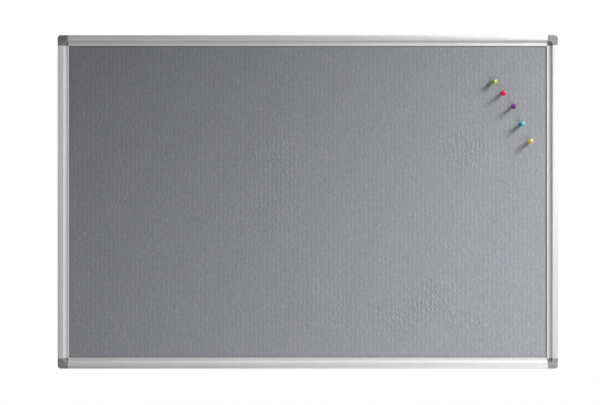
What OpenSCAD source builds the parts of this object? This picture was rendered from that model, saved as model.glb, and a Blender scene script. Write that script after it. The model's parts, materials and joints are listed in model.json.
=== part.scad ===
// Framed felt notice board with five push pins, 900 x 600 mm.
//
// Finished frame: the origin is the centre of the back plane that lies against the wall, the front
// faces -Y and +Z is up. Every piece is drawn lying on its back, with x to the right, y up the board
// and z out from the wall, and stand_up() turns it upright.
//
// A rail's section is drawn in (inset, height): the inset is measured inwards from the board's outer
// edge and the height outwards from the wall. A corner is drawn in the same way, with the inset
// measured along both x and y, as the bottom left corner, and is mirrored to the other three.

/* [Board] */
// Overall width
board_w = 900; // [450:50:1800]
// Overall height
board_h = 600; // [400:50:1200]
// Overall depth, from the wall to the frame's raised band
board_d = 19; // [19:0.5:24]

/* [Rail section] */
// Width of the frame's face, from the outer edge to the tip of the lip
rail_face = 19; // [19:0.5:24]
// Width of the raised outer band
band_w = 10; // [9.5:0.1:10.5]
// How far the lip lies below the band
lip_drop = 4; // [3.5:0.1:4.5]
// Width of the hollow cove between the band and the lip
cove_w = 5; // [4.8:0.1:5.2]
// Thickness of the lip over the felt
lip_t = 1.4; // [1.2:0.1:1.6]
// Wall of the hollow chamber at the outer edge
wall_t = 1.2; // [1:0.1:1.4]
// Thickness of the flange behind the panel
flange_t = 1.3; // [1.2:0.1:1.5]
// Inset of the web between the chamber and the panel's slot, at its outer side
web_inset = 11; // [10.8:0.1:11]
// Radius of the outer front edge
edge_r = 0.8; // [0.4:0.1:1]

/* [Panel] */
// Thickness of the felt
felt_t = 1.5; // [1:0.1:2]
// Thickness of the hardboard back
backing_t = 2.5; // [2:0.1:3]
// Inset of the panel's cut edge from the board's outer edge
panel_inset = 12.5; // [12.5:0.1:13]

/* [Corners] */
// Length of the frame that each corner piece takes up, along both edges
corner_w = 18.5; // [18.5:0.1:19]
// Radius of the outer corner, seen from the front
corner_r = 6; // [5:0.5:6]
// Thickness of the cap's face and walls
cap_t = 1.3; // [1.2:0.1:1.3]
// Gap between the cap and its neighbours
cap_gap = 0.15; // [0.1:0.05:0.2]
// Length of each tenon inside its rail
tenon_l = 35; // [25:1:45]
// Play of a tenon in the rail's chamber, on each side
tenon_play = 0.15; // [0.1:0.05:0.25]
// Inset of the wall screw's hole from both outer edges
hole_inset = 7.5; // [7.5:0.1:7.8]
// Radius of the wall screw's hole
hole_r = 2.4; // [2:0.1:2.6]
// Radius of the well for the wall screw's head
well_r = 4.6; // [4:0.1:4.6]

/* [Rail screws] */
// Distance of each screw from the end of its rail
screw_in = 17; // [10:1:20]
// Radius of the thread
screw_r = 1.45; // [1.3:0.05:1.5]
// Radius of the countersunk head
screw_head_r = 2.75; // [2.5:0.05:3]
// Overall length
screw_l = 10; // [8:0.5:12]

/* [Push pins] */
// Length of the plastic body
pin_l = 12; // [11:0.5:13]
// Radius of the top disc
disc_r = 4.75; // [4.5:0.05:5]
// Radius of the collar at the needle's end
collar_r = 3.9; // [3.5:0.05:4.2]
// Radius of the needle
needle_r = 0.55; // [0.45:0.05:0.6]
// Length of needle that shows between the felt and the collar
needle_out = 3; // [3:0.1:4]
// Length of needle inside the board
needle_in = 8; // [7:0.1:8]
// Clearance around the needle in the board
needle_play = 0.05; // [0.02:0.01:0.08]

/* [Hidden] */
// Smoothness of round shapes
$fn = 64;
// A cut passes this far beyond the face that it opens
cut = 1;

// Heights of the surfaces, out from the wall
lip_h = board_d - lip_drop;
slot_h = lip_h - lip_t;
core_t = slot_h - flange_t - felt_t - backing_t;

// The cove is an arc that meets the lip level and climbs to the band's edge. Its centre stands over
// the lip's outer end, and its radius follows from its width and its rise.
cove_r = (cove_w * cove_w + lip_drop * lip_drop) / (2 * lip_drop);
cove_h = lip_h + cove_r;
lip_w = rail_face - band_w - cove_w;
cove_steps = 12;
edge_steps = 5;

// The hollow chamber, with its inner upper corner cut off under the cove
web_t = 1.2;
chamber_top = board_d - 1.4;
chamber_cut = 2.6;
flange_inset = rail_face - 0.5;
tip_r = 0.6;
foot_r = 0.4;

// The corner pieces
corner_steps = 16;
bracket_base_t = 3;
bracket_top = 12;
bracket_margin = 2;
arm_w = web_inset + web_t;
tenon_mid = (wall_t + web_inset) / 2;
tenon_tip = 3;
tenon_tip_play = 0.6;
root_l = 1.5;

// The cap's two legs stand in slots beside the well
leg_w = 3.6;
leg_t = 2;
leg_inset = 3.2;
leg_along = 14.6;
leg_bottom = 5;
leg_play = 0.25;

// The screws
screw_head_h = flange_t;
screw_point = 1.5;
recess_l = 3.2;
recess_w = 0.8;
recess_d = 0.9;
screw_play = 0.05;

// The push pins, each with its place measured from the board's right and top edges to where the
// needle enters the felt. Lean is its angle from straight out, towards the direction lean_to, which
// is counted from the right and turns upwards.
// name, inset from the right, drop from the top, lean, lean_to, colour
PINS = [
    ["pin_green", 120, 85, 29, -5, "yellowgreen"],
    ["pin_pink", 100, 105, 6, -30, "crimson"],
    ["pin_purple", 79, 128, 16, 205, "indigo"],
    ["pin_cyan", 67, 161, 5, 18, "darkturquoise"],
    ["pin_yellow", 51, 192, 2, 150, "gold"],
];
needle_point = 2;
needle_grip = 6;
grip_play = 0.01;
hole_spare = 0.1;
collar_t = 1.6;
disc_t = 2.2;
round_r = 0.5;
crown_h = 0.25;
waist_low_r = 2.9;
waist_high_r = 3.3;
waist_dip = 0.7;
waist_steps = 14;

// name, side along x, side along y, both -1 or 1
CORNERS = [
    ["top_left", -1, 1],
    ["top_right", 1, 1],
    ["bottom_left", -1, -1],
    ["bottom_right", 1, -1],
];

// ---- Outlines ----

// Points along an arc, both ends included
function arc(cx, cy, r, from, to, steps) = [
    for (i = [0:steps])
        let (a = from + (to - from) * i / steps)
        [cx + r * cos(a), cy + r * sin(a)]
];

// The arc of the cove, from the band's edge down to the lip, moved outwards by grow. Its centre is
// at across, and side is 1 where the band lies at larger values of the first coordinate.
function cove(across, side, grow) =
    let (a = asin((cove_h - board_d + grow) / (cove_r + grow)))
    [
        for (p = arc(0, cove_h, cove_r + grow, -a, -90, cove_steps))
            [across + side * p[0], p[1]]
    ];

// The rail's outer outline in (inset, height)
function rail_outline() = concat(
    arc(foot_r, foot_r, foot_r, 270, 180, edge_steps),
    arc(edge_r, board_d - edge_r, edge_r, 180, 90, edge_steps),
    cove(band_w + cove_w, -1, 0),
    arc(rail_face - tip_r, lip_h - tip_r, tip_r, 90, 0, edge_steps),
    [
        [rail_face, slot_h],
        [arm_w, slot_h],
        [arm_w, flange_t],
        [flange_inset, flange_t],
        [flange_inset, 0],
    ]
);

// The chamber's outline, drawn in by play on every side
function chamber_outline(play) =
    let (corner_shift = play * (sqrt(2) - 1))
    [
        [wall_t + play, flange_t + play],
        [web_inset - play, flange_t + play],
        [web_inset - play, chamber_top - chamber_cut - corner_shift],
        [web_inset - chamber_cut - corner_shift, chamber_top - play],
        [wall_t + play, chamber_top - play],
    ];

// A corner's plan, with its two outer sides drawn in by inset and its inner sides at reach
function corner_plan(inset, reach) = concat(
    [[inset, reach]],
    arc(corner_r, corner_r, corner_r - inset, 180, 270, corner_steps),
    [[reach, inset], [reach, reach]]
);

// The same, without the square that the panel's corner takes up
function arm_plan(inset, reach) = concat(
    [[inset, reach]],
    arc(corner_r, corner_r, corner_r - inset, 180, 270, corner_steps),
    [[reach, inset], [reach, arm_w], [arm_w, arm_w], [arm_w, reach]]
);

// The cap's face as it is turned about the frame's inner corner: in (radius, height), the rail's
// section runs outwards from the lip, and sink lowers it to the inside of the face.
function cap_turning(sink) = concat(
    [
        [0, 0],
        [2 * rail_face, 0],
        [2 * rail_face, board_d - sink],
    ],
    cove(lip_w, 1, sink),
    [[0, lip_h - sink]]
);

// The spool's half outline in (radius, distance from the collar's face)
function spool_outline() =
    let (waist_from = collar_t, waist_to = pin_l - disc_t)
    concat(
        [[0, 0]],
        arc(collar_r - round_r, round_r, round_r, -90, 0, edge_steps),
        arc(collar_r - round_r, collar_t - round_r, round_r, 0, 90, edge_steps),
        [
            for (i = [0:waist_steps])
                let (t = i / waist_steps)
                [
                    waist_low_r + (waist_high_r - waist_low_r) * t - 4 * waist_dip * t * (1 - t),
                    waist_from + (waist_to - waist_from) * t,
                ]
        ],
        arc(disc_r - round_r, waist_to + round_r, round_r, -90, 0, edge_steps),
        arc(disc_r - round_r, pin_l - round_r, round_r, 0, 90, edge_steps),
        [[disc_r / 2, pin_l + crown_h], [0, pin_l + crown_h]]
    );

// ---- Placing ----

module stand_up() {
    rotate([90, 0, 0]) children();
}

// Moves a bottom left corner to the corner on the sides sx and sy
module at_corner(sx, sy) {
    translate([sx * board_w / 2, sy * board_h / 2, 0])
        mirror([sx > 0 ? 1 : 0, 0, 0])
        mirror([0, sy > 0 ? 1 : 0, 0])
        children();
}

// Swaps the corner's two edges
module swap_edges() {
    mirror([1, -1, 0]) children();
}

// Puts a pin's own axis, which starts at the felt and points outwards, at the pin's place
module at_pin(pin) {
    translate([board_w / 2 - pin[1], board_h / 2 - pin[2], slot_h])
        rotate([0, pin[3], pin[4]])
        children();
}

// Draws a section in (inset, height) out along x
module along_x(length) {
    rotate([90, 0, 90]) linear_extrude(length, center = true) children();
}

// ---- Frame ----

// A screw's space, widened by play: the countersunk head, the thread and the point
module screw_form(play) {
    cylinder(h = screw_head_h, r1 = screw_head_r + play, r2 = screw_r + play);
    cylinder(h = screw_l - screw_point, r = screw_r + play);
    translate([0, 0, screw_l - screw_point])
        cylinder(h = screw_point + play, r1 = screw_r + play, r2 = (screw_r + play) / 3);
}

// A rail of the given length along x, with its outer edge on y = 0
module rail(length) {
    mitre = rail_face - corner_w;
    difference() {
        along_x(length) polygon(rail_outline());
        along_x(length + 2 * cut) polygon(chamber_outline(0));
        for (end = [-1, 1]) {
            translate([end * length / 2, corner_w, -cut])
                linear_extrude(board_d + 2 * cut)
                polygon([[0, 0], [end * cut, 0], [end * cut, mitre + cut], [-end * (mitre + cut), mitre + cut]]);
            translate([end * (length / 2 - screw_in), tenon_mid, 0]) screw_form(screw_play);
        }
    }
}

module rail_flat() {
    translate([0, -board_h / 2, 0]) rail(board_w - 2 * corner_w);
}

module rail_upright() {
    translate([-board_w / 2, 0, 0]) rotate([0, 0, -90]) rail(board_h - 2 * corner_w);
}

module rail_bottom() {
    color("silver") stand_up() rail_flat();
}

module rail_top() {
    color("silver") stand_up() mirror([0, 1, 0]) rail_flat();
}

module rail_left() {
    color("silver") stand_up() rail_upright();
}

module rail_right() {
    color("silver") stand_up() mirror([1, 0, 0]) rail_upright();
}

// ---- Corner pieces ----

// One tenon along x, with a thinner tip that finds its way into the rail
module tenon() {
    body_l = tenon_l - tenon_tip;
    translate([corner_w + body_l / 2, 0, 0])
        along_x(body_l) polygon(chamber_outline(tenon_play));
    translate([corner_w + tenon_l / 2, 0, 0])
        along_x(tenon_l) polygon(chamber_outline(tenon_tip_play));
    translate([corner_w - root_l, bracket_margin + root_l, flange_t + root_l])
        cube([2 * root_l, web_inset - bracket_margin - 2 * root_l, bracket_top - flange_t - 2 * root_l]);
}

// The space of one of the cap's legs, widened by play
module leg(play, bottom, top) {
    translate([leg_along - play, leg_inset - play, bottom])
        cube([leg_t + 2 * play, leg_w + 2 * play, top - bottom]);
}

module bracket() {
    difference() {
        union() {
            linear_extrude(flange_t) polygon(corner_plan(0, corner_w));
            linear_extrude(bracket_base_t) polygon(arm_plan(0, corner_w));
            linear_extrude(bracket_top) polygon(arm_plan(bracket_margin, corner_w));
            tenon();
            swap_edges() tenon();
        }
        translate([hole_inset, hole_inset, -cut]) cylinder(h = bracket_top, r = hole_r);
        translate([hole_inset, hole_inset, bracket_base_t]) cylinder(h = bracket_top, r = well_r);
        leg(leg_play, leg_bottom - 2 * leg_play, bracket_top + cut);
        swap_edges() leg(leg_play, leg_bottom - 2 * leg_play, bracket_top + cut);
        translate([corner_w + screw_in, tenon_mid, 0]) screw_form(screw_play);
        swap_edges() translate([corner_w + screw_in, tenon_mid, 0]) screw_form(screw_play);
    }
}

module cap() {
    bottom = bracket_base_t + cap_gap;
    difference() {
        intersection() {
            translate([0, 0, bottom])
                linear_extrude(board_d - bottom + cut)
                polygon(corner_plan(0, corner_w - cap_gap));
            translate([rail_face, rail_face, 0]) rotate_extrude() polygon(cap_turning(0));
        }
        intersection() {
            linear_extrude(board_d) polygon(corner_plan(cap_t, rail_face));
            translate([rail_face, rail_face, 0]) rotate_extrude() polygon(cap_turning(cap_t));
        }
    }
    leg(0, leg_bottom, board_d - cap_t / 2);
    swap_edges() leg(0, leg_bottom, board_d - cap_t / 2);
}

module corner_bracket(corner) {
    color("dimgray") stand_up() at_corner(corner[1], corner[2]) bracket();
}

module corner_cap(corner) {
    color("gray") stand_up() at_corner(corner[1], corner[2]) cap();
}

// One screw, with a crossed recess in its head
module screw() {
    difference() {
        screw_form(0);
        for (turn = [45, 135])
            rotate([0, 0, turn])
                translate([-recess_l / 2, -recess_w / 2, -cut])
                cube([recess_l, recess_w, recess_d + cut]);
    }
}

// Two screws at each corner, one in each rail
module rail_screws() {
    color("lightgray") stand_up()
        for (corner = CORNERS)
            at_corner(corner[1], corner[2]) {
                translate([corner_w + screw_in, tenon_mid, 0]) screw();
                swap_edges() translate([corner_w + screw_in, tenon_mid, 0]) screw();
            }
}

// ---- Panel ----

// A sheet of the panel's size, from height low to high, with a hole for each needle
module sheet(low, high) {
    w = board_w - 2 * panel_inset;
    h = board_h - 2 * panel_inset;
    difference() {
        translate([-w / 2, -h / 2, low]) cube([w, h, high - low]);
        for (pin = PINS)
            at_pin(pin)
                translate([0, 0, -needle_in - hole_spare])
                cylinder(h = needle_in + hole_spare + cut, r = needle_r + needle_play);
    }
}

module felt_facing() {
    color("slategray") stand_up() sheet(slot_h - felt_t, slot_h);
}

module fibreboard_core() {
    color("tan") stand_up() sheet(slot_h - felt_t - core_t, slot_h - felt_t);
}

module backing_sheet() {
    color("saddlebrown") stand_up() sheet(flange_t, flange_t + backing_t);
}

// ---- Push pins ----

module pin_head(pin) {
    color(pin[5]) stand_up() at_pin(pin)
        translate([0, 0, needle_out])
        difference() {
            rotate_extrude() polygon(spool_outline());
            translate([0, 0, -cut])
                cylinder(h = needle_grip + cut + grip_play, r = needle_r + grip_play);
        }
}

module pin_needle(pin) {
    color("silver") stand_up() at_pin(pin) {
        translate([0, 0, -needle_in])
            cylinder(h = needle_point, r1 = needle_r / 5, r2 = needle_r);
        translate([0, 0, needle_point - needle_in])
            cylinder(h = needle_in - needle_point + needle_out + needle_grip, r = needle_r);
    }
}

rail_top();
rail_bottom();
rail_left();
rail_right();
for (c = CORNERS) {
    corner_bracket(c);
    corner_cap(c);
}
felt_facing();
fibreboard_core();
backing_sheet();
rail_screws();
for (p = PINS) {
    pin_head(p);
    pin_needle(p);
}
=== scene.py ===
"""Framed felt notice board with five push pins: the visible surfaces and finishes.

Everything is in metres in the part's own frame: the wall is the plane y = 0, the felt faces -Y and
+Z is up. Shapes are worked out lying down, in millimetres, as (x to the right, y up the board,
h out from the wall), and stand() turns them upright.
"""

import json
import math

import bmesh
import bpy
import numpy as np
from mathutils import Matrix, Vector
from mathutils.geometry import tessellate_polygon


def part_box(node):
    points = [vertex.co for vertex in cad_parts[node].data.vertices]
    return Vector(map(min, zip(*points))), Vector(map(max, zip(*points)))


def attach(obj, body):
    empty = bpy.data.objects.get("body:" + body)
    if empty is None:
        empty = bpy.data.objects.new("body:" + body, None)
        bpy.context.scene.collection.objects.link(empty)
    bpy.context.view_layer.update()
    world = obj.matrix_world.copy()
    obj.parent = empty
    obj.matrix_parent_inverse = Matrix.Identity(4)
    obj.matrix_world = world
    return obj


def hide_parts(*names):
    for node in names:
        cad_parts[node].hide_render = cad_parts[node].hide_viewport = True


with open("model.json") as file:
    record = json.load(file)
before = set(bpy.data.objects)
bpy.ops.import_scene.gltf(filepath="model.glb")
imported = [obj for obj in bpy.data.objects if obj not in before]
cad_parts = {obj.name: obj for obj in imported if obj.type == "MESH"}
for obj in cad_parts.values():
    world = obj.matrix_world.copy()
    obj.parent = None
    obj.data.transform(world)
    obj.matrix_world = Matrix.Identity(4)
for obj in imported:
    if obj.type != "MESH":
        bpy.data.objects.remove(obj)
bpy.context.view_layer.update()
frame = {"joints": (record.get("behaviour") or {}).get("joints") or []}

MM = 0.001

# ---- Sizes of the board, from the frame where it holds them, in millimetres ----

felt_low, felt_high = (np.array(corner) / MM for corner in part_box("felt_facing"))
left_low, left_high = (np.array(corner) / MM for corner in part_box("rail_left"))
HALF_W = -left_low[0]
HALF_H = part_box("rail_top")[1][2] / MM
FACE_W = left_high[0] - left_low[0]
DEPTH = -left_low[1]
CORNER_W = HALF_H - left_high[2]
FELT_H = -felt_low[1]
FELT_T = felt_high[1] - felt_low[1]
FELT_W, FELT_L = felt_high[0] - felt_low[0], felt_high[2] - felt_low[2]
LIP_OVER = FELT_W / 2 - (HALF_W - FACE_W)

# The rail's section, in (inset from the board's edge, height from the wall)
BAND_W, COVE_W, LIP_H = 10.0, 5.0, 15.0
WALL_T, FLANGE_T, WEB_OUT, WEB_IN = 1.2, 1.3, 11.0, 12.2
CHAMBER_TOP, CHAMBER_CUT = 17.6, 2.6
EDGE_R, BREAK_R, LIP_R, BACK_R, CHAMBER_R, END_CHAMFER = 0.8, 0.25, 0.6, 0.4, 0.4, 0.12
COVE_R = (COVE_W**2 + (DEPTH - LIP_H) ** 2) / (2 * (DEPTH - LIP_H))
COVE_STEPS, ROUND_STEPS = 24, 4
SCREW_IN, SCREW_R, SCREW_HEAD_R = 17.0, 1.5, 2.8
CUT_BEHIND, CUT_INSIDE, CUTTER_TURNS, RAIL_SHARP = 0.3, 0.6, 32, 30

# The corner caps
CORNER_R, CAP_T, CAP_GAP, CAP_BOTTOM = 6.0, 1.3, 0.15, 3.15
CAP_MERGE, CAP_SOFT, CAP_SHARP = 0.002, 0.12, 40
LEG_AT, LEG_SIZE, LEG_BOTTOM = (14.6, 3.2), (2.0, 3.6), 5.0

# The push pins, along each pin's own axis from the felt
PIN_OUT, PIN_L, NEEDLE_IN, NEEDLE_GRIP, NEEDLE_R = 3.0, 12.0, 8.0, 6.0, 0.55
COLLAR_R, COLLAR_T, DISC_R, DISC_T, PIN_ROUND, DISC_ROUND = 3.9, 1.6, 4.75, 2.2, 0.5, 1.05
DOME_DROP, HEAD_TURNS, NEEDLE_TURNS, TURNED_SHARP = 0.5, 72, 28, 40
PIN_NAMES = ["pin_green", "pin_pink", "pin_purple", "pin_cyan", "pin_yellow"]
CORNERS = {"top_left": (-1, 1), "top_right": (1, 1), "bottom_left": (-1, -1), "bottom_right": (1, -1)}


# ---- Making meshes ----

def stand(points):
    """Lying points (x, y, h) in millimetres to upright ones in metres: (x, -h, y)."""
    points = np.asarray(points, float)
    return np.stack([points[..., 0], -points[..., 2], points[..., 1]], axis=-1) * MM


def make_piece(name, vertices, faces, smooth_below=RAIL_SHARP):
    """A mesh object from upright vertices in metres. Edges that turn less than the angle are smooth."""
    mesh = bpy.data.meshes.new(name)
    mesh.from_pydata(np.asarray(vertices).reshape(-1, 3).tolist(), [], [list(f) for f in faces])
    mesh.validate()
    smooth_faces(mesh, smooth_below)
    obj = bpy.data.objects.new(name, mesh)
    bpy.context.scene.collection.objects.link(obj)
    return obj


def grid_faces(rows, columns, wrap_columns=False):
    """Quads of a rows by columns grid whose points are numbered row by row."""
    c_count = columns if wrap_columns else columns - 1
    r, c = np.meshgrid(np.arange(rows - 1), np.arange(c_count), indexing="ij")
    next_c = (c + 1) % columns
    here, up = r * columns, (r + 1) * columns
    quads = np.stack([here + c, here + next_c, up + next_c, up + c], axis=-1)
    return quads.reshape(-1, 4)


def smooth_faces(mesh, below):
    """Smooth faces, with sharp edges where they turn by more than the angle in degrees."""
    mesh.polygons.foreach_set("use_smooth", np.ones(len(mesh.polygons), bool))
    mesh.set_sharp_from_angle(angle=math.radians(below))


def face_outwards(mesh, merge_below=0.0):
    """Points every face outwards, after points closer than merge_below are merged."""
    repair = bmesh.new()
    repair.from_mesh(mesh)
    if merge_below:
        bmesh.ops.remove_doubles(repair, verts=repair.verts, dist=merge_below)
    bmesh.ops.recalc_face_normals(repair, faces=repair.faces)
    repair.to_mesh(mesh)
    repair.free()


def applied(obj):
    """Replaces the mesh with the one that its modifiers make, and removes them."""
    graph = bpy.context.evaluated_depsgraph_get()
    mesh = bpy.data.meshes.new_from_object(obj.evaluated_get(graph))
    obj.modifiers.clear()
    obj.data = mesh
    return obj


def finish_piece(obj, body, node, material):
    """Rides the piece on its body in place of its CAD node, with its finish."""
    obj.data.materials.clear()
    obj.data.materials.append(material)
    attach(obj, body)
    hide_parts(node)
    return obj


def arc(cx, cy, r, start, end, steps):
    """Points on a circle from one angle in degrees to another, both ends included."""
    a = np.radians(np.linspace(start, end, steps + 1))
    return np.stack([cx + r * np.cos(a), cy + r * np.sin(a)], axis=-1)


def lathe(name, outline, turns, place):
    """Turns an outline of (radius, distance) about a pin's axis: x = r cos t, y = r sin t, h = distance.

    The outline starts and ends on the axis, where all its turned points are one pole.
    """
    t = np.linspace(0, 2 * np.pi, turns, endpoint=False)
    ring = outline[1:-1]
    points = np.stack([
        ring[:, :1] * np.cos(t), ring[:, :1] * np.sin(t), np.repeat(ring[:, 1:], turns, axis=1)], axis=-1)
    count = len(ring) * turns
    vertices = np.concatenate([points.reshape(-1, 3), [[0, 0, outline[0, 1]], [0, 0, outline[-1, 1]]]])
    k = np.arange(turns)
    after = (k + 1) % turns
    first = np.stack([np.full(turns, count), after, k], axis=-1)
    last_row = count - turns
    last = np.stack([np.full(turns, count + 1), last_row + k, last_row + after], axis=-1)
    faces = grid_faces(len(ring), turns, True).tolist() + first.tolist() + last.tolist()
    return make_piece(name, stand(place(vertices)), faces, TURNED_SHARP)


# ---- Shader writing ----

class Value:
    """A socket in a material. Operators on values and numbers add Math nodes."""

    def __init__(self, finish, socket):
        self.finish, self.socket = finish, socket

    def _math(self, operation, *operands):
        settings = {"operation": operation}
        return self.finish.add("ShaderNodeMath", settings, dict(enumerate(operands)))

    def __add__(self, other):
        return self._math("ADD", self, other)

    __radd__ = __add__

    def __mul__(self, other):
        return self._math("MULTIPLY", self, other)

    __rmul__ = __mul__

    def __sub__(self, other):
        return self._math("SUBTRACT", self, other)

    def __rsub__(self, other):
        return self._math("SUBTRACT", other, self)

    def __truediv__(self, other):
        return self._math("DIVIDE", self, other)

    def __rtruediv__(self, other):
        return self._math("DIVIDE", other, self)

    def sine(self):
        return self._math("SINE", self)

    def between(self, low, high, to_low=0.0, to_high=1.0):
        """Maps low..high to to_low..to_high with a soft start and end, held beyond."""
        inputs = {"Value": self, "From Min": low, "From Max": high, "To Min": to_low, "To Max": to_high}
        return self.finish.add("ShaderNodeMapRange", {"interpolation_type": "SMOOTHSTEP"}, inputs)


class Finish:
    """One material and its nodes. Patterns are in the part's own metres."""

    def __init__(self, name):
        self.material = bpy.data.materials.new(name)
        self.material.use_nodes = True
        self.nodes = self.material.node_tree.nodes
        self.links = self.material.node_tree.links
        self.nodes.clear()
        self.place = self.add("ShaderNodeTexCoord", {}, {}, "Object")

    def add(self, kind, settings, inputs, output=0):
        """Adds a node: its settings, then the numbers or values of its sockets, and gives an output."""
        node = self.nodes.new(kind)
        for key, setting in settings.items():
            setattr(node, key, setting)
        for key, value in inputs.items():
            if isinstance(value, Value):
                self.links.new(value.socket, node.inputs[key])
            else:
                node.inputs[key].default_value = value
        return Value(self, node.outputs[output])

    def stretched(self, x=1.0, y=1.0, z=1.0):
        """The place, scaled along each axis."""
        return self.add("ShaderNodeVectorMath", {"operation": "MULTIPLY"}, {0: self.place, 1: (x, y, z)})

    def axis(self, letter):
        """The place along one axis."""
        return self.add("ShaderNodeSeparateXYZ", {}, {"Vector": self.place}, letter)

    def vector(self, x, y, z):
        """Three values as one place."""
        return self.add("ShaderNodeCombineXYZ", {}, {"X": x, "Y": y, "Z": z})

    def mound(self, x, z, wide, tall, strength):
        """The strength at a place of the board in millimetres, falling to 0 over the ellipse about it."""
        across = (self.axis("X") - x * MM) / (wide * MM)
        up = (self.axis("Z") - z * MM) / (tall * MM)
        return (across * across + up * up).between(0.0, 2.4, strength, 0.0)

    def noise(self, size_mm, detail=2.0, rough=0.5, vector=None):
        """Soft noise from 0 to 1 whose features are about size_mm across."""
        inputs = {"Vector": vector or self.place, "Scale": 1 / (size_mm * MM)}
        inputs.update({"Detail": detail, "Roughness": rough})
        return self.add("ShaderNodeTexNoise", {}, inputs)

    def cells(self, size_mm):
        """Distance to the nearest of scattered points about size_mm apart."""
        return self.add("ShaderNodeTexVoronoi", {}, {"Vector": self.place, "Scale": 1 / (size_mm * MM)})

    def blend(self, factor, a, b):
        """Colour a where factor is 0 and colour b where it is 1."""
        return self.add("ShaderNodeMix", {"data_type": "RGBA"}, {0: factor, 6: a, 7: b}, 2)

    def bump(self, height, depth_mm, normal=None):
        """A normal from a height of 0 to 1 that stands depth_mm high."""
        inputs = {"Height": height, "Distance": depth_mm * MM, "Strength": 1.0}
        if normal:
            inputs["Normal"] = normal
        return self.add("ShaderNodeBump", {}, inputs)

    def surface(self, base, roughness, normal, **constants):
        """Ends the material with its shader. Constants are set on the shader's own sockets."""
        inputs = {"Base Color": base, "Roughness": roughness, "Normal": normal}
        inputs.update({key.replace("_", " "): value for key, value in constants.items()})
        shader = self.add("ShaderNodeBsdfPrincipled", {}, inputs)
        output = self.nodes.new("ShaderNodeOutputMaterial")
        self.links.new(shader.socket, output.inputs["Surface"])
        return self.material


def grey(level, tint=(1.0, 1.0, 1.0)):
    """A colour of one brightness, times a tint."""
    return (level * tint[0], level * tint[1], level * tint[2], 1.0)


# ---- Finishes ----

# From one rib of the felt to the next, in millimetres
RIB_PITCH = 7.95
# Where the felt is puckered most: x, z, half width and half height in millimetres, and how strongly
PUCKERS = [
    (292, 94, 36, 30, 1.2), (232, -172, 38, 30, 1.15), (168, -206, 46, 30, 0.9), (292, -216, 32, 24, 0.8),
    (20, -200, 60, 34, 0.7), (-55, 30, 42, 110, 0.8), (292, 225, 34, 28, 0.4), (-200, 235, 60, 26, 0.3),
]


def felt_finish():
    """Grey needled felt: light and dark fibres mixed, with a nap.

    Its ribs run up the board, a sine across it whose phase wavers, and fade and return. Creases stand
    only in the puckered places.
    """
    f = Finish("grey_felt")
    fibres = f.noise(2.3, 3, 0.62, f.stretched(1.0, 1.0, 0.5))
    matting = f.noise(4.2, 2, 0.6, f.stretched(1.0, 1.0, 0.75))
    flecks = f.noise(0.5, 3, 0.75)
    fuzz = f.noise(0.3, 3, 0.8, f.stretched(1.0, 1.0, 0.4)) - 0.5
    specks = f.noise(3.4, 2, 0.5).between(0.62, 0.74)
    waver = f.noise(5.0, 2, 0.6, f.stretched(0.6, 1.0, 1.0)) - 0.5
    drift = f.noise(60, 2, 0.5, f.stretched(0.5, 1.0, 1.0)) - 0.5
    ribs = (f.axis("X") * (2 * math.pi / (RIB_PITCH * MM)) + waver * 10.0 + drift * 4.0).sine() * 0.5 + 0.5
    broken = f.noise(6.0, 2, 0.6, f.stretched(1.0, 1.0, 0.8)).between(0.3, 0.7, 0.35, 1.0)
    mixed = fibres * 0.42 + matting * 0.22 + flecks * 0.12 + fuzz * 0.4
    tone = (mixed + ribs * broken * 0.13).between(0.2, 0.75)
    plain = f.blend(tone, (0.172, 0.177, 0.190, 1), (0.261, 0.267, 0.284, 1))
    base = f.blend(specks * 0.35, plain, (0.120, 0.124, 0.134, 1))
    leaning = f.vector(f.axis("X") + f.axis("Z") * 0.3, f.axis("Y"), f.axis("Z") * 0.42)
    strokes = f.noise(3.0, 2, 0.55, leaning)
    puckered = sum(f.mound(*place) for place in PUCKERS)
    creased = f.bump((ribs * broken * 0.3 + strokes * 0.7) * puckered, 1.1)
    nap = f.bump(fibres * 0.7 + flecks * 0.3, 0.19, creased)
    normal = f.bump(ribs * broken * 0.5 + matting * 0.5, 0.08, nap)
    rough = flecks.between(0.2, 0.8, 0.86, 0.98)
    return f.surface(base, rough, normal, Sheen_Weight=0.10, Sheen_Roughness=0.6, Specular_IOR_Level=0.25)


def aluminium_finish(name, along):
    """Satin anodised aluminium, with the faint lines that the extrusion die leaves along its length."""
    f = Finish(name)

    def drawn_out(share):
        return f.stretched(x=share) if along == "X" else f.stretched(z=share)

    lines = f.noise(0.35, 3, 0.7, drawn_out(0.02))
    bands = f.noise(2.2, 2, 0.5, drawn_out(0.01))
    grain = f.noise(0.12, 2, 0.6)
    handling = f.noise(45, 3, 0.6)
    tone = (lines * 0.6 + bands * 0.4).between(0.3, 0.7)
    base = f.blend(tone, grey(0.55, (1, 1, 0.992)), grey(0.62, (1, 1, 0.995)))
    rough = (lines * 0.5 + handling * 0.5).between(0.3, 0.75, 0.52, 0.66)
    normal = f.bump(lines * 0.7 + grain * 0.3, 0.006)
    return f.surface(base, rough, normal, Metallic=0.5)


def cap_finish():
    """Mid-grey moulded plastic with a spark-textured skin, polished a little on its high spots."""
    f = Finish("cap_plastic")
    grain = f.noise(0.55, 3, 0.65)
    pits = f.cells(0.45)
    wear = f.noise(7, 3, 0.6)
    mottle = f.noise(2.6, 2, 0.6)
    tone = (wear * 0.35 + mottle * 0.65).between(0.32, 0.68)
    base = f.blend(tone, grey(0.135, (0.98, 1, 0.99)), grey(0.235, (0.98, 1, 1)))
    rough = (grain * 0.6 + wear * 0.4).between(0.3, 0.7, 0.42, 0.6)
    normal = f.bump(grain * 0.6 + pits * 0.4, 0.09)
    return f.surface(base, rough, normal, Specular_IOR_Level=0.5)


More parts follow.
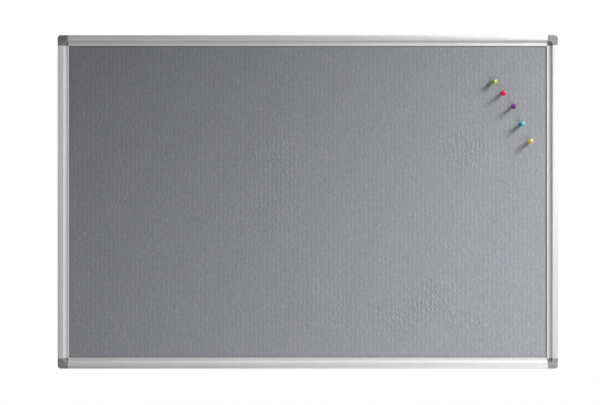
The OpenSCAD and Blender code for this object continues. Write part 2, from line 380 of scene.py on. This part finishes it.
def bracket_finish():
    """Black glass-filled plastic, faintly streaked by its flow in the mould."""
    f = Finish("bracket_plastic")
    flow = f.noise(5, 4, 0.65, f.stretched(1.0, 1.0, 0.5))
    skin = f.noise(0.5, 3, 0.6)
    base = f.blend(flow.between(0.3, 0.7), grey(0.035), grey(0.06))
    rough = (flow * 0.6 + skin * 0.4).between(0.3, 0.7, 0.38, 0.6)
    return f.surface(base, rough, f.bump(skin, 0.05))


def fibreboard_finish():
    """Soft fibreboard: pale matted wood fibres."""
    f = Finish("soft_fibreboard")
    mat = f.noise(1.6, 5, 0.7)
    strands = f.noise(0.7, 3, 0.7, f.stretched(0.4, 1.0, 1.0))
    tone = (mat * 0.6 + strands * 0.4).between(0.3, 0.7)
    base = f.blend(tone, (0.30, 0.21, 0.125, 1), (0.50, 0.38, 0.25, 1))
    return f.surface(base, mat.between(0.3, 0.7, 0.85, 0.97), f.bump(mat * 0.5 + strands * 0.5, 0.25))


def hardboard_finish():
    """The rough side of brown hardboard, pressed with the mesh of the screen that it was dried on."""
    f = Finish("hardboard")
    pitch = 2 * math.pi / (1.7 * MM)
    warps = (f.axis("X") * pitch).sine() * 0.5 + 0.5
    wefts = (f.axis("Z") * pitch).sine() * 0.5 + 0.5
    mesh = warps * wefts
    fibres = f.noise(1.1, 4, 0.7)
    stains = f.noise(60, 4, 0.6)
    tone = (fibres * 0.55 + stains * 0.35 + mesh * 0.2).between(0.3, 0.8)
    base = f.blend(tone, (0.105, 0.058, 0.030, 1), (0.235, 0.142, 0.080, 1))
    rough = (fibres * 0.5 + mesh * 0.5).between(0.2, 0.8, 0.62, 0.86)
    return f.surface(base, rough, f.bump(fibres, 0.10, f.bump(mesh, 0.16)))


def steel_finish(name, level, rough_low, rough_high):
    """Drawn or zinc-plated steel with fine turning marks."""
    f = Finish(name)
    marks = f.noise(0.3, 3, 0.7)
    stain = f.noise(2.5, 3, 0.6)
    base = f.blend(stain.between(0.3, 0.7), grey(level * 0.86), grey(level, (1, 1, 0.985)))
    rough = (marks * 0.5 + stain * 0.5).between(0.3, 0.7, rough_low, rough_high)
    return f.surface(base, rough, f.bump(marks, 0.01), Metallic=1.0)


def pin_finish(name, dark, light):
    """Glossy dyed plastic, a little uneven in tint and with faint handling marks in its shine."""
    f = Finish(name)
    swirl = f.noise(3.2, 3, 0.6)
    smears = f.noise(1.2, 3, 0.65)
    base = f.blend(swirl.between(0.3, 0.7), (*dark, 1), (*light, 1))
    rough = smears.between(0.3, 0.7, 0.24, 0.38)
    glow = {"Subsurface_Weight": 0.35, "Subsurface_Radius": (1.0, 1.0, 1.0), "Subsurface_Scale": 2.5 * MM}
    return f.surface(base, rough, f.bump(swirl, 0.02), Coat_Weight=0.4, Coat_Roughness=0.14, **glow)


# ---- Rails ----

def broken_corner(points, index, radius, steps):
    """Replaces one corner of an outline with an arc that touches both its sides."""
    before, corner, after = points[index - 1], points[index], points[(index + 1) % len(points)]
    a = (before - corner) / np.linalg.norm(before - corner)
    b = (after - corner) / np.linalg.norm(after - corner)
    half = math.acos(np.clip(a @ b, -1, 1)) / 2
    centre = corner + (a + b) / np.linalg.norm(a + b) * radius / math.sin(half)
    reach = radius / math.tan(half)
    start, end = corner + a * reach - centre, corner + b * reach - centre
    turn = math.pi - 2 * half
    t = np.linspace(0, 1, steps + 1)[:, None]
    bow = (np.sin((1 - t) * turn) * start + np.sin(t * turn) * end) / math.sin(turn)
    return np.concatenate([points[:index], centre + bow, points[index + 1:]])


def rail_outline():
    """The rail's outer outline: band, cove arc, lip, slot for the panel and back flange."""
    cove_from = math.degrees(math.asin((LIP_H + COVE_R - DEPTH) / COVE_R))
    cove = arc(BAND_W + COVE_W, LIP_H + COVE_R, COVE_R, 180 + cove_from, 270, COVE_STEPS)
    lip_tip = arc(FACE_W - LIP_R, LIP_H - LIP_R, LIP_R, 90, 0, ROUND_STEPS)
    points = np.concatenate([
        arc(BACK_R, BACK_R, BACK_R, 270, 180, ROUND_STEPS),
        arc(EDGE_R, DEPTH - EDGE_R, EDGE_R, 180, 90, 2 * ROUND_STEPS),
        cove,
        [[CORNER_W, LIP_H]],
        lip_tip,
        [[FACE_W, FELT_H], [CORNER_W, FELT_H], [WEB_IN, FELT_H], [WEB_IN, FLANGE_T]],
        [[CORNER_W, FLANGE_T], [CORNER_W, 0]],
    ])
    band_edge = ROUND_STEPS + 1 + 2 * ROUND_STEPS + 1
    return broken_corner(points, band_edge, BREAK_R, ROUND_STEPS)


def chamber_outline():
    """The hollow chamber, whose inner upper corner is cut off under the cove."""
    points = np.array([
        [WALL_T, FLANGE_T], [WEB_OUT, FLANGE_T], [WEB_OUT, CHAMBER_TOP - CHAMBER_CUT],
        [WEB_OUT - CHAMBER_CUT, CHAMBER_TOP], [WALL_T, CHAMBER_TOP]])
    for index in (4, 3, 2, 1):
        points = broken_corner(points, index, CHAMBER_R, ROUND_STEPS)
    return points


def rail_mesh(name, length, place):
    """Carries the section along x, from end to end: x = length / 2 - max(0, inset - cap's width).

    The second term mitres what lies beyond the cap's width. A thin chamfer breaks each sawn end, so
    the section has two rings at each end.
    """
    outer, inner = rail_outline(), chamber_outline()
    section = np.concatenate([outer, inner])
    to_middle = outer.mean(axis=0) - outer
    to_middle /= np.linalg.norm(to_middle, axis=1, keepdims=True)
    inwards = np.concatenate([to_middle, np.zeros_like(inner)])
    rings = []
    for side, drawn in ((-1, END_CHAMFER), (-1, 0.0), (1, 0.0), (1, END_CHAMFER)):
        reach = length / 2 - np.maximum(0, section[:, 0] - CORNER_W) - (END_CHAMFER - drawn)
        drawn_in = section + inwards * drawn
        rings.append(np.stack([side * reach, drawn_in[:, 0], drawn_in[:, 1]], axis=-1))
    points = np.stack(rings)
    n, m = len(outer), len(inner)
    total = n + m
    k, k_next = np.arange(n), (np.arange(n) + 1) % n
    j, j_next = n + np.arange(m), n + (np.arange(m) + 1) % m
    faces = []
    for ring in range(len(rings) - 1):
        a, b = ring * total, (ring + 1) * total
        faces += np.stack([a + k, b + k, b + k_next, a + k_next], axis=-1).tolist()
        faces += np.stack([a + j, a + j_next, b + j_next, b + j], axis=-1).tolist()
    loops = [[Vector((*p, 0)) for p in outer], [Vector((*p, 0)) for p in inner]]
    ends = np.array(tessellate_polygon(loops))
    faces += ends.tolist() + (ends[:, ::-1] + (len(rings) - 1) * total).tolist()
    obj = make_piece(name, stand(place(points)), faces)
    face_outwards(obj.data)
    return obj


def screw_cutter(x, y, place):
    """The space of a countersunk screw through the back flange, from behind it to inside the chamber."""
    top = FLANGE_T + CUT_INSIDE
    outline = np.array([
        [0, -CUT_BEHIND], [SCREW_HEAD_R, -CUT_BEHIND], [SCREW_HEAD_R, 0], [SCREW_R, FLANGE_T],
        [SCREW_R, top], [0, top]])
    return lathe("cutter", outline, CUTTER_TURNS, lambda p: place(p + np.array([x, y, 0])))


def make_rail(node, length, place, material):
    """One rail with its two countersunk screw holes, which are cut from the back into the chamber."""
    obj = rail_mesh(node + "_extrusion", length, place)
    mid = (WALL_T + WEB_OUT) / 2
    for end in (-1, 1):
        cutter = screw_cutter(end * (length / 2 - SCREW_IN), mid, place)
        face_outwards(cutter.data)
        hole = obj.modifiers.new("screw_hole", "BOOLEAN")
        hole.operation, hole.solver, hole.object = "DIFFERENCE", "EXACT", cutter
        applied(obj)
        bpy.data.objects.remove(cutter)
    smooth_faces(obj.data, RAIL_SHARP)
    return finish_piece(obj, "root", node, material)


def make_rails():
    """Four rails from one section. Places turn or mirror a rail along x, with its edge on y = 0."""
    flat, upright = aluminium_finish("anodised_flat", "X"), aluminium_finish("anodised_upright", "Z")
    long, short = 2 * (HALF_W - CORNER_W), 2 * (HALF_H - CORNER_W)

    def bottom(p):
        return np.stack([p[..., 0], p[..., 1] - HALF_H, p[..., 2]], axis=-1)

    def top(p):
        return bottom(p) * [1, -1, 1]

    def left(p):
        return np.stack([p[..., 1] - HALF_W, -p[..., 0], p[..., 2]], axis=-1)

    def right(p):
        return left(p) * [-1, 1, 1]

    make_rail("rail_bottom", long, bottom, flat)
    make_rail("rail_top", long, top, flat)
    make_rail("rail_left", short, left, upright)
    make_rail("rail_right", short, right, upright)


# ---- Corner caps ----

def corner_outline(inset, reach, count):
    """The cap's outer edge from one rail round the corner to the other, drawn in by inset.

    Straight, a quarter circle of the corner's radius less the inset, and straight, with points set
    closest together on the arc.
    """
    side = np.linspace(reach, CORNER_R, count, endpoint=False)
    bend = arc(CORNER_R, CORNER_R, CORNER_R - inset, 180, 270, count)
    first = np.stack([np.full(count, float(inset)), side], axis=-1)
    last = np.stack([np.linspace(CORNER_R, reach, count + 1)[1:], np.full(count, float(inset))], axis=-1)
    return np.concatenate([first, bend, last])


def cap_shell():
    """The cap's outer skin over (row, column).

    Columns run round the corner from rail to rail. Rows run outwards: first the lip and the cove,
    turned about the frame's inner corner at radius rho, x = W - rho cos t, y = W - rho sin t, then
    the flat band, spread between the cove's edge and the outline, then the rounded edge and the wall.
    """
    reach = CORNER_W - CAP_GAP
    off = FACE_W - reach
    count = 12
    rim = corner_outline(EDGE_R, reach, count)
    columns = len(rim)
    share = np.linspace(0, 1, columns)
    cove_from = math.asin((LIP_H + COVE_R - DEPTH) / COVE_R)
    lip_w = FACE_W - BAND_W - COVE_W
    lip = np.stack([np.linspace(off * math.sqrt(2), lip_w, 6), np.full(6, LIP_H)], axis=-1)
    angle = np.linspace(-math.pi / 2, -cove_from, 17)[1:]
    cove = np.stack([lip_w + COVE_R * np.cos(angle), LIP_H + COVE_R + COVE_R * np.sin(angle)], axis=-1)
    # The cove's last point and the two after it break the edge between the cove and the band
    cove[-1] = [FACE_W - BAND_W - 0.08, DEPTH - BREAK_R]
    edge = np.array([[FACE_W - BAND_W + 0.02, DEPTH - 0.07], [FACE_W - BAND_W + 0.2, DEPTH]])
    rows = []
    for rho, height in np.concatenate([lip, cove, edge]):
        start = math.asin(min(1, off / rho))
        t = start + share * (math.pi / 2 - 2 * start)
        rows.append(np.stack([
            FACE_W - rho * np.cos(t), FACE_W - rho * np.sin(t), np.full(columns, height)], axis=-1))
    inner = rows[-1]
    for s in np.linspace(0, 1, 7)[1:]:
        flat = inner[:, :2] * (1 - s) + rim * s
        rows.append(np.column_stack([flat, np.full(columns, DEPTH)]))
    for a in np.linspace(0, 90, 6)[1:]:
        inset = EDGE_R * (1 - math.sin(math.radians(a)))
        height = DEPTH - EDGE_R * (1 - math.cos(math.radians(a)))
        rows.append(np.column_stack([corner_outline(inset, reach, count), np.full(columns, height)]))
    for height in np.linspace(DEPTH - EDGE_R, CAP_BOTTOM, 8)[1:]:
        rows.append(np.column_stack([corner_outline(0, reach, count), np.full(columns, height)]))
    return np.stack(rows)


def leg_block(low, high):
    """A leg as a closed box of 8 corners, for a bevel to soften."""
    corners = np.array([[x, y, z] for z in (low[2], high[2]) for x, y in (
        (low[0], low[1]), (high[0], low[1]), (high[0], high[1]), (low[0], high[1]))])
    faces = [[3, 2, 1, 0], [4, 5, 6, 7], [0, 1, 5, 4], [1, 2, 6, 5], [2, 3, 7, 6], [3, 0, 4, 7]]
    return corners, faces


def make_cap(corner, sx, sy, material):
    """One cap: the skin given its wall's thickness inwards, the two legs, and softened edges."""
    def place(p):
        return np.stack([sx * (HALF_W - p[..., 0]), sy * (HALF_H - p[..., 1]), p[..., 2]], axis=-1)

    node = "corner_cap_" + corner
    shell = cap_shell()
    skin = make_piece(node + "_moulding", stand(place(shell)), grid_faces(*shell.shape[:2]))
    face_outwards(skin.data, CAP_MERGE * MM)
    if sum(f.normal.y * f.area for f in skin.data.polygons) > 0:
        skin.data.flip_normals()
    wall = skin.modifiers.new("wall", "SOLIDIFY")
    wall.thickness, wall.offset, wall.use_even_offset = CAP_T * MM, -1, True
    applied(skin)
    solid = bmesh.new()
    solid.from_mesh(skin.data)
    (lx, ly), (lw, ld) = LEG_AT, LEG_SIZE
    top = DEPTH - CAP_T * 0.6
    flipped = sx * sy < 0
    for low, high in (((lx, ly), (lx + lw, ly + ld)), ((ly, lx), (ly + ld, lx + lw))):
        corners, faces = leg_block((*low, LEG_BOTTOM), (*high, top))
        made = [solid.verts.new(Vector(v)) for v in stand(place(corners))]
        for face in faces:
            solid.faces.new([made[i] for i in (face[::-1] if flipped else face)])
    solid.to_mesh(skin.data)
    solid.free()
    soft = skin.modifiers.new("soft_edges", "BEVEL")
    soft.width, soft.segments = CAP_SOFT * MM, 2
    soft.limit_method, soft.angle_limit = "ANGLE", math.radians(CAP_SHARP)
    applied(skin)
    smooth_faces(skin.data, CAP_SHARP)
    return finish_piece(skin, node, node, material)


# ---- Felt ----

# The finer band along the felt's edges and its steps, and the places across and up between
FELT_EDGE, FELT_EDGE_STEPS, FELT_ACROSS, FELT_UP = 14, 16, 510, 164


def waves(x, y, rng, count, longest, shortest, low, high):
    """A sum of plane waves sin(k (x sin a + y cos a) + phase) / count, with a between low and high."""
    total = np.zeros_like(x)
    for _ in range(count):
        a, phase = rng.uniform(low, high), rng.uniform(0, 2 * np.pi)
        k = 2 * np.pi / rng.uniform(shortest, longest)
        total += np.sin(k * (x * np.sin(a) + y * np.cos(a)) + phase) / count
    return total


def hill(x, y, x0, y0, wide, tall):
    """A soft mound of height 1 about a place: exp(-((x - x0) / wide)^2 - ((y - y0) / tall)^2)."""
    return np.exp(-(((x - x0) / wide) ** 2) - ((y - y0) / tall) ** 2)


def felt_relief(x, y):
    """Height of the felt's face in millimetres over the board.

    Ribs: a sine across the board whose phase wavers up it. Puckers: short waves that lie aslant,
    strongest at PUCKERS. Swells: long, low waves, strongest towards the lower right and by the pins.
    All of it dies out at the edges, where the felt dips in a soft groove along the lip:
    0.6 exp(-((edge - lip) / 1.9)^2).
    """
    rng = np.random.default_rng(7)
    waver = 3.0 * waves(x, y, rng, 8, 90, 34, -0.5, 0.5) + 8.0 * waves(x, y, rng, 12, 24, 9, -0.7, 0.7)
    broken = waves(x, y, rng, 10, 34, 13, -0.8, 0.8)
    rolling = waves(x, y, rng, 14, 60, 18, 0, np.pi)
    pucker = waves(x, y, rng, 16, 15, 9, 0.25, 1.3)
    patch = 0.5 + 0.5 * hill(x, y, 300, -170, 190, 150) + 0.5 * hill(x, y, 330, 110, 90, 90)
    knots = sum(strength * hill(x, y, x0, y0, wide, tall) for x0, y0, wide, tall, strength in PUCKERS)
    ribs = 0.025 * np.sin(2 * np.pi * x / RIB_PITCH + waver) * (0.5 + 1.6 * np.abs(broken))
    puckers = 0.10 * pucker * (0.3 + 0.8 * patch + 1.8 * knots)
    edge = np.minimum(FELT_W / 2 - np.abs(x), FELT_L / 2 - np.abs(y))
    swell = 0.10 * rolling * patch
    groove = 0.6 * np.exp(-(((edge - LIP_OVER) / 1.9) ** 2)) * np.clip(edge / 3.0, 0, 1)
    inside = np.clip((edge - 6.0) / 8.0, 0, 1)
    return (ribs * (0.6 + patch) + puckers + swell - 0.08) * inside - groove


def felt_line(length, count):
    """Places along one side of the felt: even in the middle, and closer over the band at each end."""
    edge = np.linspace(0, FELT_EDGE, FELT_EDGE_STEPS + 1)[:-1]
    middle = np.linspace(FELT_EDGE, length - FELT_EDGE, count)
    return np.concatenate([edge, middle, length - edge[::-1]]) - length / 2


def make_felt(material):
    """The felt as a closed slab: a fine face, its cut edges and a flat back."""
    u, v = felt_line(FELT_W, FELT_ACROSS), felt_line(FELT_L, FELT_UP)
    columns, rows = len(u), len(v)
    x, y = np.meshgrid(u, v)
    face = np.stack([x, y, FELT_H + felt_relief(x, y)], axis=-1)
    count = rows * columns
    index = np.arange(count).reshape(rows, columns)
    loop = np.concatenate([index[0, :-1], index[:-1, -1], index[-1, :0:-1], index[:0:-1, 0]])
    back = face.reshape(-1, 3)[loop] * [1, 1, 0] + [0, 0, FELT_H - FELT_T]
    k = np.arange(len(loop))
    after = (k + 1) % len(loop)
    walls = np.stack([count + k, count + after, loop[after], loop[k]], axis=-1)
    faces = grid_faces(rows, columns).tolist() + walls.tolist() + [(count + k)[::-1].tolist()]
    obj = make_piece("felt_sheet", stand(np.concatenate([face.reshape(-1, 3), back])), faces)
    finish_piece(obj, "root", "felt_facing", material)
    return obj


# ---- Push pins ----

def spool_outline():
    """The pin's plastic body in (radius, distance from its collar's face).

    Collar with rounded rims, a waist that is a hollow curve, radius = 2.9 + 0.4 t - 2.8 t (1 - t),
    and the thick top disc, which is domed and has the small dimple of its moulding gate.
    """
    low, high = COLLAR_T, PIN_L - DISC_T
    t = np.linspace(0, 1, 25)
    waist = np.stack([2.9 + 0.4 * t - 2.8 * t * (1 - t), low + (high - low) * t], axis=-1)
    dome = np.array([
        [3.3, -0.26], [2.7, -0.06], [2.0, 0.13], [1.3, 0.26],
        [0.8, 0.32], [0.55, 0.22], [0.3, 0.15], [0, 0.13]])
    return np.concatenate([
        [[0, 0], [1.5, 0]],
        arc(COLLAR_R - PIN_ROUND, PIN_ROUND, PIN_ROUND, -90, 0, 6),
        arc(COLLAR_R - PIN_ROUND, COLLAR_T - PIN_ROUND, PIN_ROUND, 0, 80, 6),
        waist,
        arc(DISC_R - PIN_ROUND, high + PIN_ROUND, PIN_ROUND, -80, 0, 6),
        arc(DISC_R - DISC_ROUND, PIN_L - DOME_DROP - DISC_ROUND, DISC_ROUND, 0, 67, 9),
        dome + [0, PIN_L],
    ])


def needle_outline():
    """The needle in (radius, distance from the felt): a ground point and a straight shank."""
    tip = -NEEDLE_IN
    point = [[0, tip], [0.06, tip + 0.05], [0.3, tip + 0.9], [0.48, tip + 1.6], [NEEDLE_R, tip + 2.2]]
    shank = [[NEEDLE_R, -1], [NEEDLE_R, 1.5], [NEEDLE_R, PIN_OUT + NEEDLE_GRIP], [0, PIN_OUT + NEEDLE_GRIP]]
    return np.array(point + shank)


def pin_place(name):
    """A function that puts points about a pin's own axis in their place on the board.

    The axis has the direction of the pin's joint, called out here. The needle's box fixes where it
    stands: its middle is the mean of the lowest and highest places that the needle reaches, each an
    end of the axis moved out by r sqrt(1 - out^2), where r is the needle's radius at that end.
    """
    joint = next(j for j in frame["joints"] if j["child"] == name)
    axis = np.array(joint["axis"], float)
    out = np.array([axis[0], axis[2], -axis[1]])
    out /= np.linalg.norm(out)
    low, high = (np.array(corner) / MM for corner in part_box(name + "_needle"))
    middle = (low + high) / 2
    middle = np.array([middle[0], middle[2], -middle[1]])
    side = np.cross([0, 1, 0], out)
    side /= np.linalg.norm(side)
    up = np.cross(out, side)
    tip_r = NEEDLE_R / 5
    spread = np.sqrt(np.maximum(0, 1 - out**2))
    lowest = -NEEDLE_IN * out - np.sign(out) * tip_r * spread
    highest = (PIN_OUT + NEEDLE_GRIP) * out + np.sign(out) * NEEDLE_R * spread
    origin = middle - (lowest + highest) / 2
    turn = np.stack([side, up, out])
    return lambda p: origin + p @ turn


def make_pins():
    """The five pins, each a plastic body, dyed between a darker and a paler tint, and a steel needle."""
    steel = steel_finish("needle_steel", 0.72, 0.18, 0.3)
    colours = {
        "pin_green": ((0.215, 0.275, 0.050), (0.25, 0.32, 0.070)),
        "pin_pink": ((0.47, 0.006, 0.074), (0.54, 0.009, 0.092)),
        "pin_purple": ((0.100, 0.021, 0.155), (0.12, 0.027, 0.18)),
        "pin_cyan": ((0.026, 0.25, 0.27), (0.036, 0.285, 0.305)),
        "pin_yellow": ((0.37, 0.31, 0.058), (0.42, 0.355, 0.078)),
    }
    for name in PIN_NAMES:
        place = pin_place(name)
        head = lathe(name + "_body", spool_outline(), HEAD_TURNS, lambda p: place(p + [0, 0, PIN_OUT]))
        plastic = pin_finish(name + "_plastic", *colours[name])
        finish_piece(head, name, name + "_head", plastic)
        needle = lathe(name + "_shank", needle_outline(), NEEDLE_TURNS, place)
        finish_piece(needle, name, name + "_needle", steel)


# ---- Finishes of the nodes that stay as they are ----

def dress_nodes():
    """Gives the core, the back, the brackets and the screws their finishes."""
    finishes = {
        "fibreboard_core": fibreboard_finish(),
        "backing_sheet": hardboard_finish(),
        "rail_screws": steel_finish("screw_steel", 0.6, 0.28, 0.45),
    }
    bracket = bracket_finish()
    for corner in CORNERS:
        finishes["corner_bracket_" + corner] = bracket
    for node, material in finishes.items():
        data = bpy.data.objects[node].data
        data.materials.clear()
        data.materials.append(material)


# ---- Camera, light and floor ----

# In metres. VIEW_W is the width of the face's plane that the camera takes in
CAMERA_X, CAMERA_Y, CAMERA_Z, VIEW_W = -0.0140, -1.319, -0.0011, 1.0787
SENSOR = 36.0
FLOOR_R, FLOOR_Z, FLOOR_RINGS, FLOOR_TURNS = 2.2, -1.3, 24, 96


def make_camera():
    """A camera square to the board: lens = sensor * distance to the face / view's width."""
    data = bpy.data.cameras.new("camera")
    data.sensor_width = SENSOR
    data.lens = SENSOR * (-CAMERA_Y - DEPTH * MM) / VIEW_W
    camera = bpy.data.objects.new("camera", data)
    camera.location = (CAMERA_X, CAMERA_Y, CAMERA_Z)
    camera.rotation_euler = (math.radians(90), 0, 0)
    bpy.context.scene.collection.objects.link(camera)
    bpy.context.scene.camera = camera


def make_light(name, place, aim, size, power, spread):
    """A round lamp that faces a place: its width in metres, its watts and its spread in degrees."""
    data = bpy.data.lights.new(name, "AREA")
    data.shape, data.size, data.energy = "DISK", size, power
    data.spread = math.radians(spread)
    light = bpy.data.objects.new(name, data)
    light.location = place
    light.rotation_euler = (Vector(aim) - Vector(place)).to_track_quat("-Z", "Y").to_euler()
    bpy.context.scene.collection.objects.link(light)
    return light


def make_lights():
    """A key from the upper right, 32 degrees off the board's face, and a low fill from the lower right.

    Neither is mirrored by what shines. That mirrors the studio, and a weaker lamp at the key's place.
    """
    pins = Vector((0.37, 0, 0.16))
    rise = math.radians(32)
    towards = Vector((math.cos(rise) * 0.83, -math.sin(rise), math.cos(rise) * 0.556))
    key = make_light("key", pins + 1.6 * towards, (0.04, 0, -0.6), 0.8, 12.3, 70)
    fill = make_light("low_fill", (0.9, -1.3, -0.9), (0, 0, 0), 0.9, 21.0, 180)
    key.visible_glossy = False
    fill.visible_glossy = False
    glint = make_light("glint", pins + 1.55 * towards, (-0.1, 0, -0.58), 0.4, 2.0, 70)
    glint.visible_diffuse = False


class WorldValues(Finish):
    """The world's own nodes, written in the same way as a material's."""

    def __init__(self, world):
        world.use_nodes = True
        self.nodes, self.links = world.node_tree.nodes, world.node_tree.links
        self.nodes.clear()
        self.place = self.add("ShaderNodeTexCoord", {}, {}, "Generated")

    def light(self, strength):
        return self.add("ShaderNodeBackground", {}, {"Color": (1, 1, 1, 1), "Strength": strength})


def make_world():
    """A white studio to look at. Its light is dim in front of the board and full behind it.

    What shines mirrors a brighter one, paler above and to the right.
    """
    world = bpy.data.worlds.new("studio")
    bpy.context.scene.world = world
    w = WorldValues(world)
    behind = w.axis("Y").between(-0.05, 0.45)
    upwards = w.axis("Z").between(-0.6, 0.6, -0.42, 0.42)
    rightwards = w.axis("X").between(-0.7, 0.7, -0.12, 0.12)
    dim = w.light(behind * 0.8 + 0.028)
    mirrored = w.light(upwards + rightwards + 0.74)
    white = w.light(1.0)
    path = w.add("ShaderNodeLightPath", {}, {}, "Is Camera Ray")
    glossy = w.add("ShaderNodeLightPath", {}, {}, "Is Glossy Ray")
    unseen = w.add("ShaderNodeMixShader", {}, {0: glossy, 1: dim, 2: mirrored})
    seen = w.add("ShaderNodeMixShader", {}, {0: path, 1: unseen, 2: white})
    output = w.nodes.new("ShaderNodeOutputWorld")
    w.links.new(seen.socket, output.inputs["Surface"])


def make_floor():
    """A pale round floor well below the board: (r cos t, r sin t, z). It fades away at its rim."""
    t = np.linspace(0, 2 * np.pi, FLOOR_TURNS, endpoint=False)
    r = np.linspace(0.02, FLOOR_R, FLOOR_RINGS)[:, None]
    level = np.full((FLOOR_RINGS, FLOOR_TURNS), FLOOR_Z)
    points = np.stack([r * np.cos(t), r * np.sin(t), level], axis=-1)
    floor = make_piece("floor", points, grid_faces(FLOOR_RINGS, FLOOR_TURNS, True))
    f = Finish("pale_floor")
    distance = f.add("ShaderNodeVectorMath", {"operation": "LENGTH"}, {0: f.stretched(1, 1, 0)}, "Value")
    shader = f.add("ShaderNodeBsdfDiffuse", {}, {"Color": (0.86, 0.86, 0.86, 1)})
    clear = f.add("ShaderNodeBsdfTransparent", {}, {})
    fade = distance.between(0.8, FLOOR_R * 0.97)
    mix = f.add("ShaderNodeMixShader", {}, {0: fade, 1: shader, 2: clear})
    output = f.nodes.new("ShaderNodeOutputMaterial")
    f.links.new(mix.socket, output.inputs["Surface"])
    floor.data.materials.append(f.material)


make_camera()
make_rails()
caps = cap_finish()
for corner, (sx, sy) in CORNERS.items():
    make_cap(corner, sx, sy, caps)
make_felt(felt_finish())
make_pins()
dress_nodes()
make_lights()
make_world()
make_floor()
bpy.context.scene.view_settings.view_transform = "Standard"
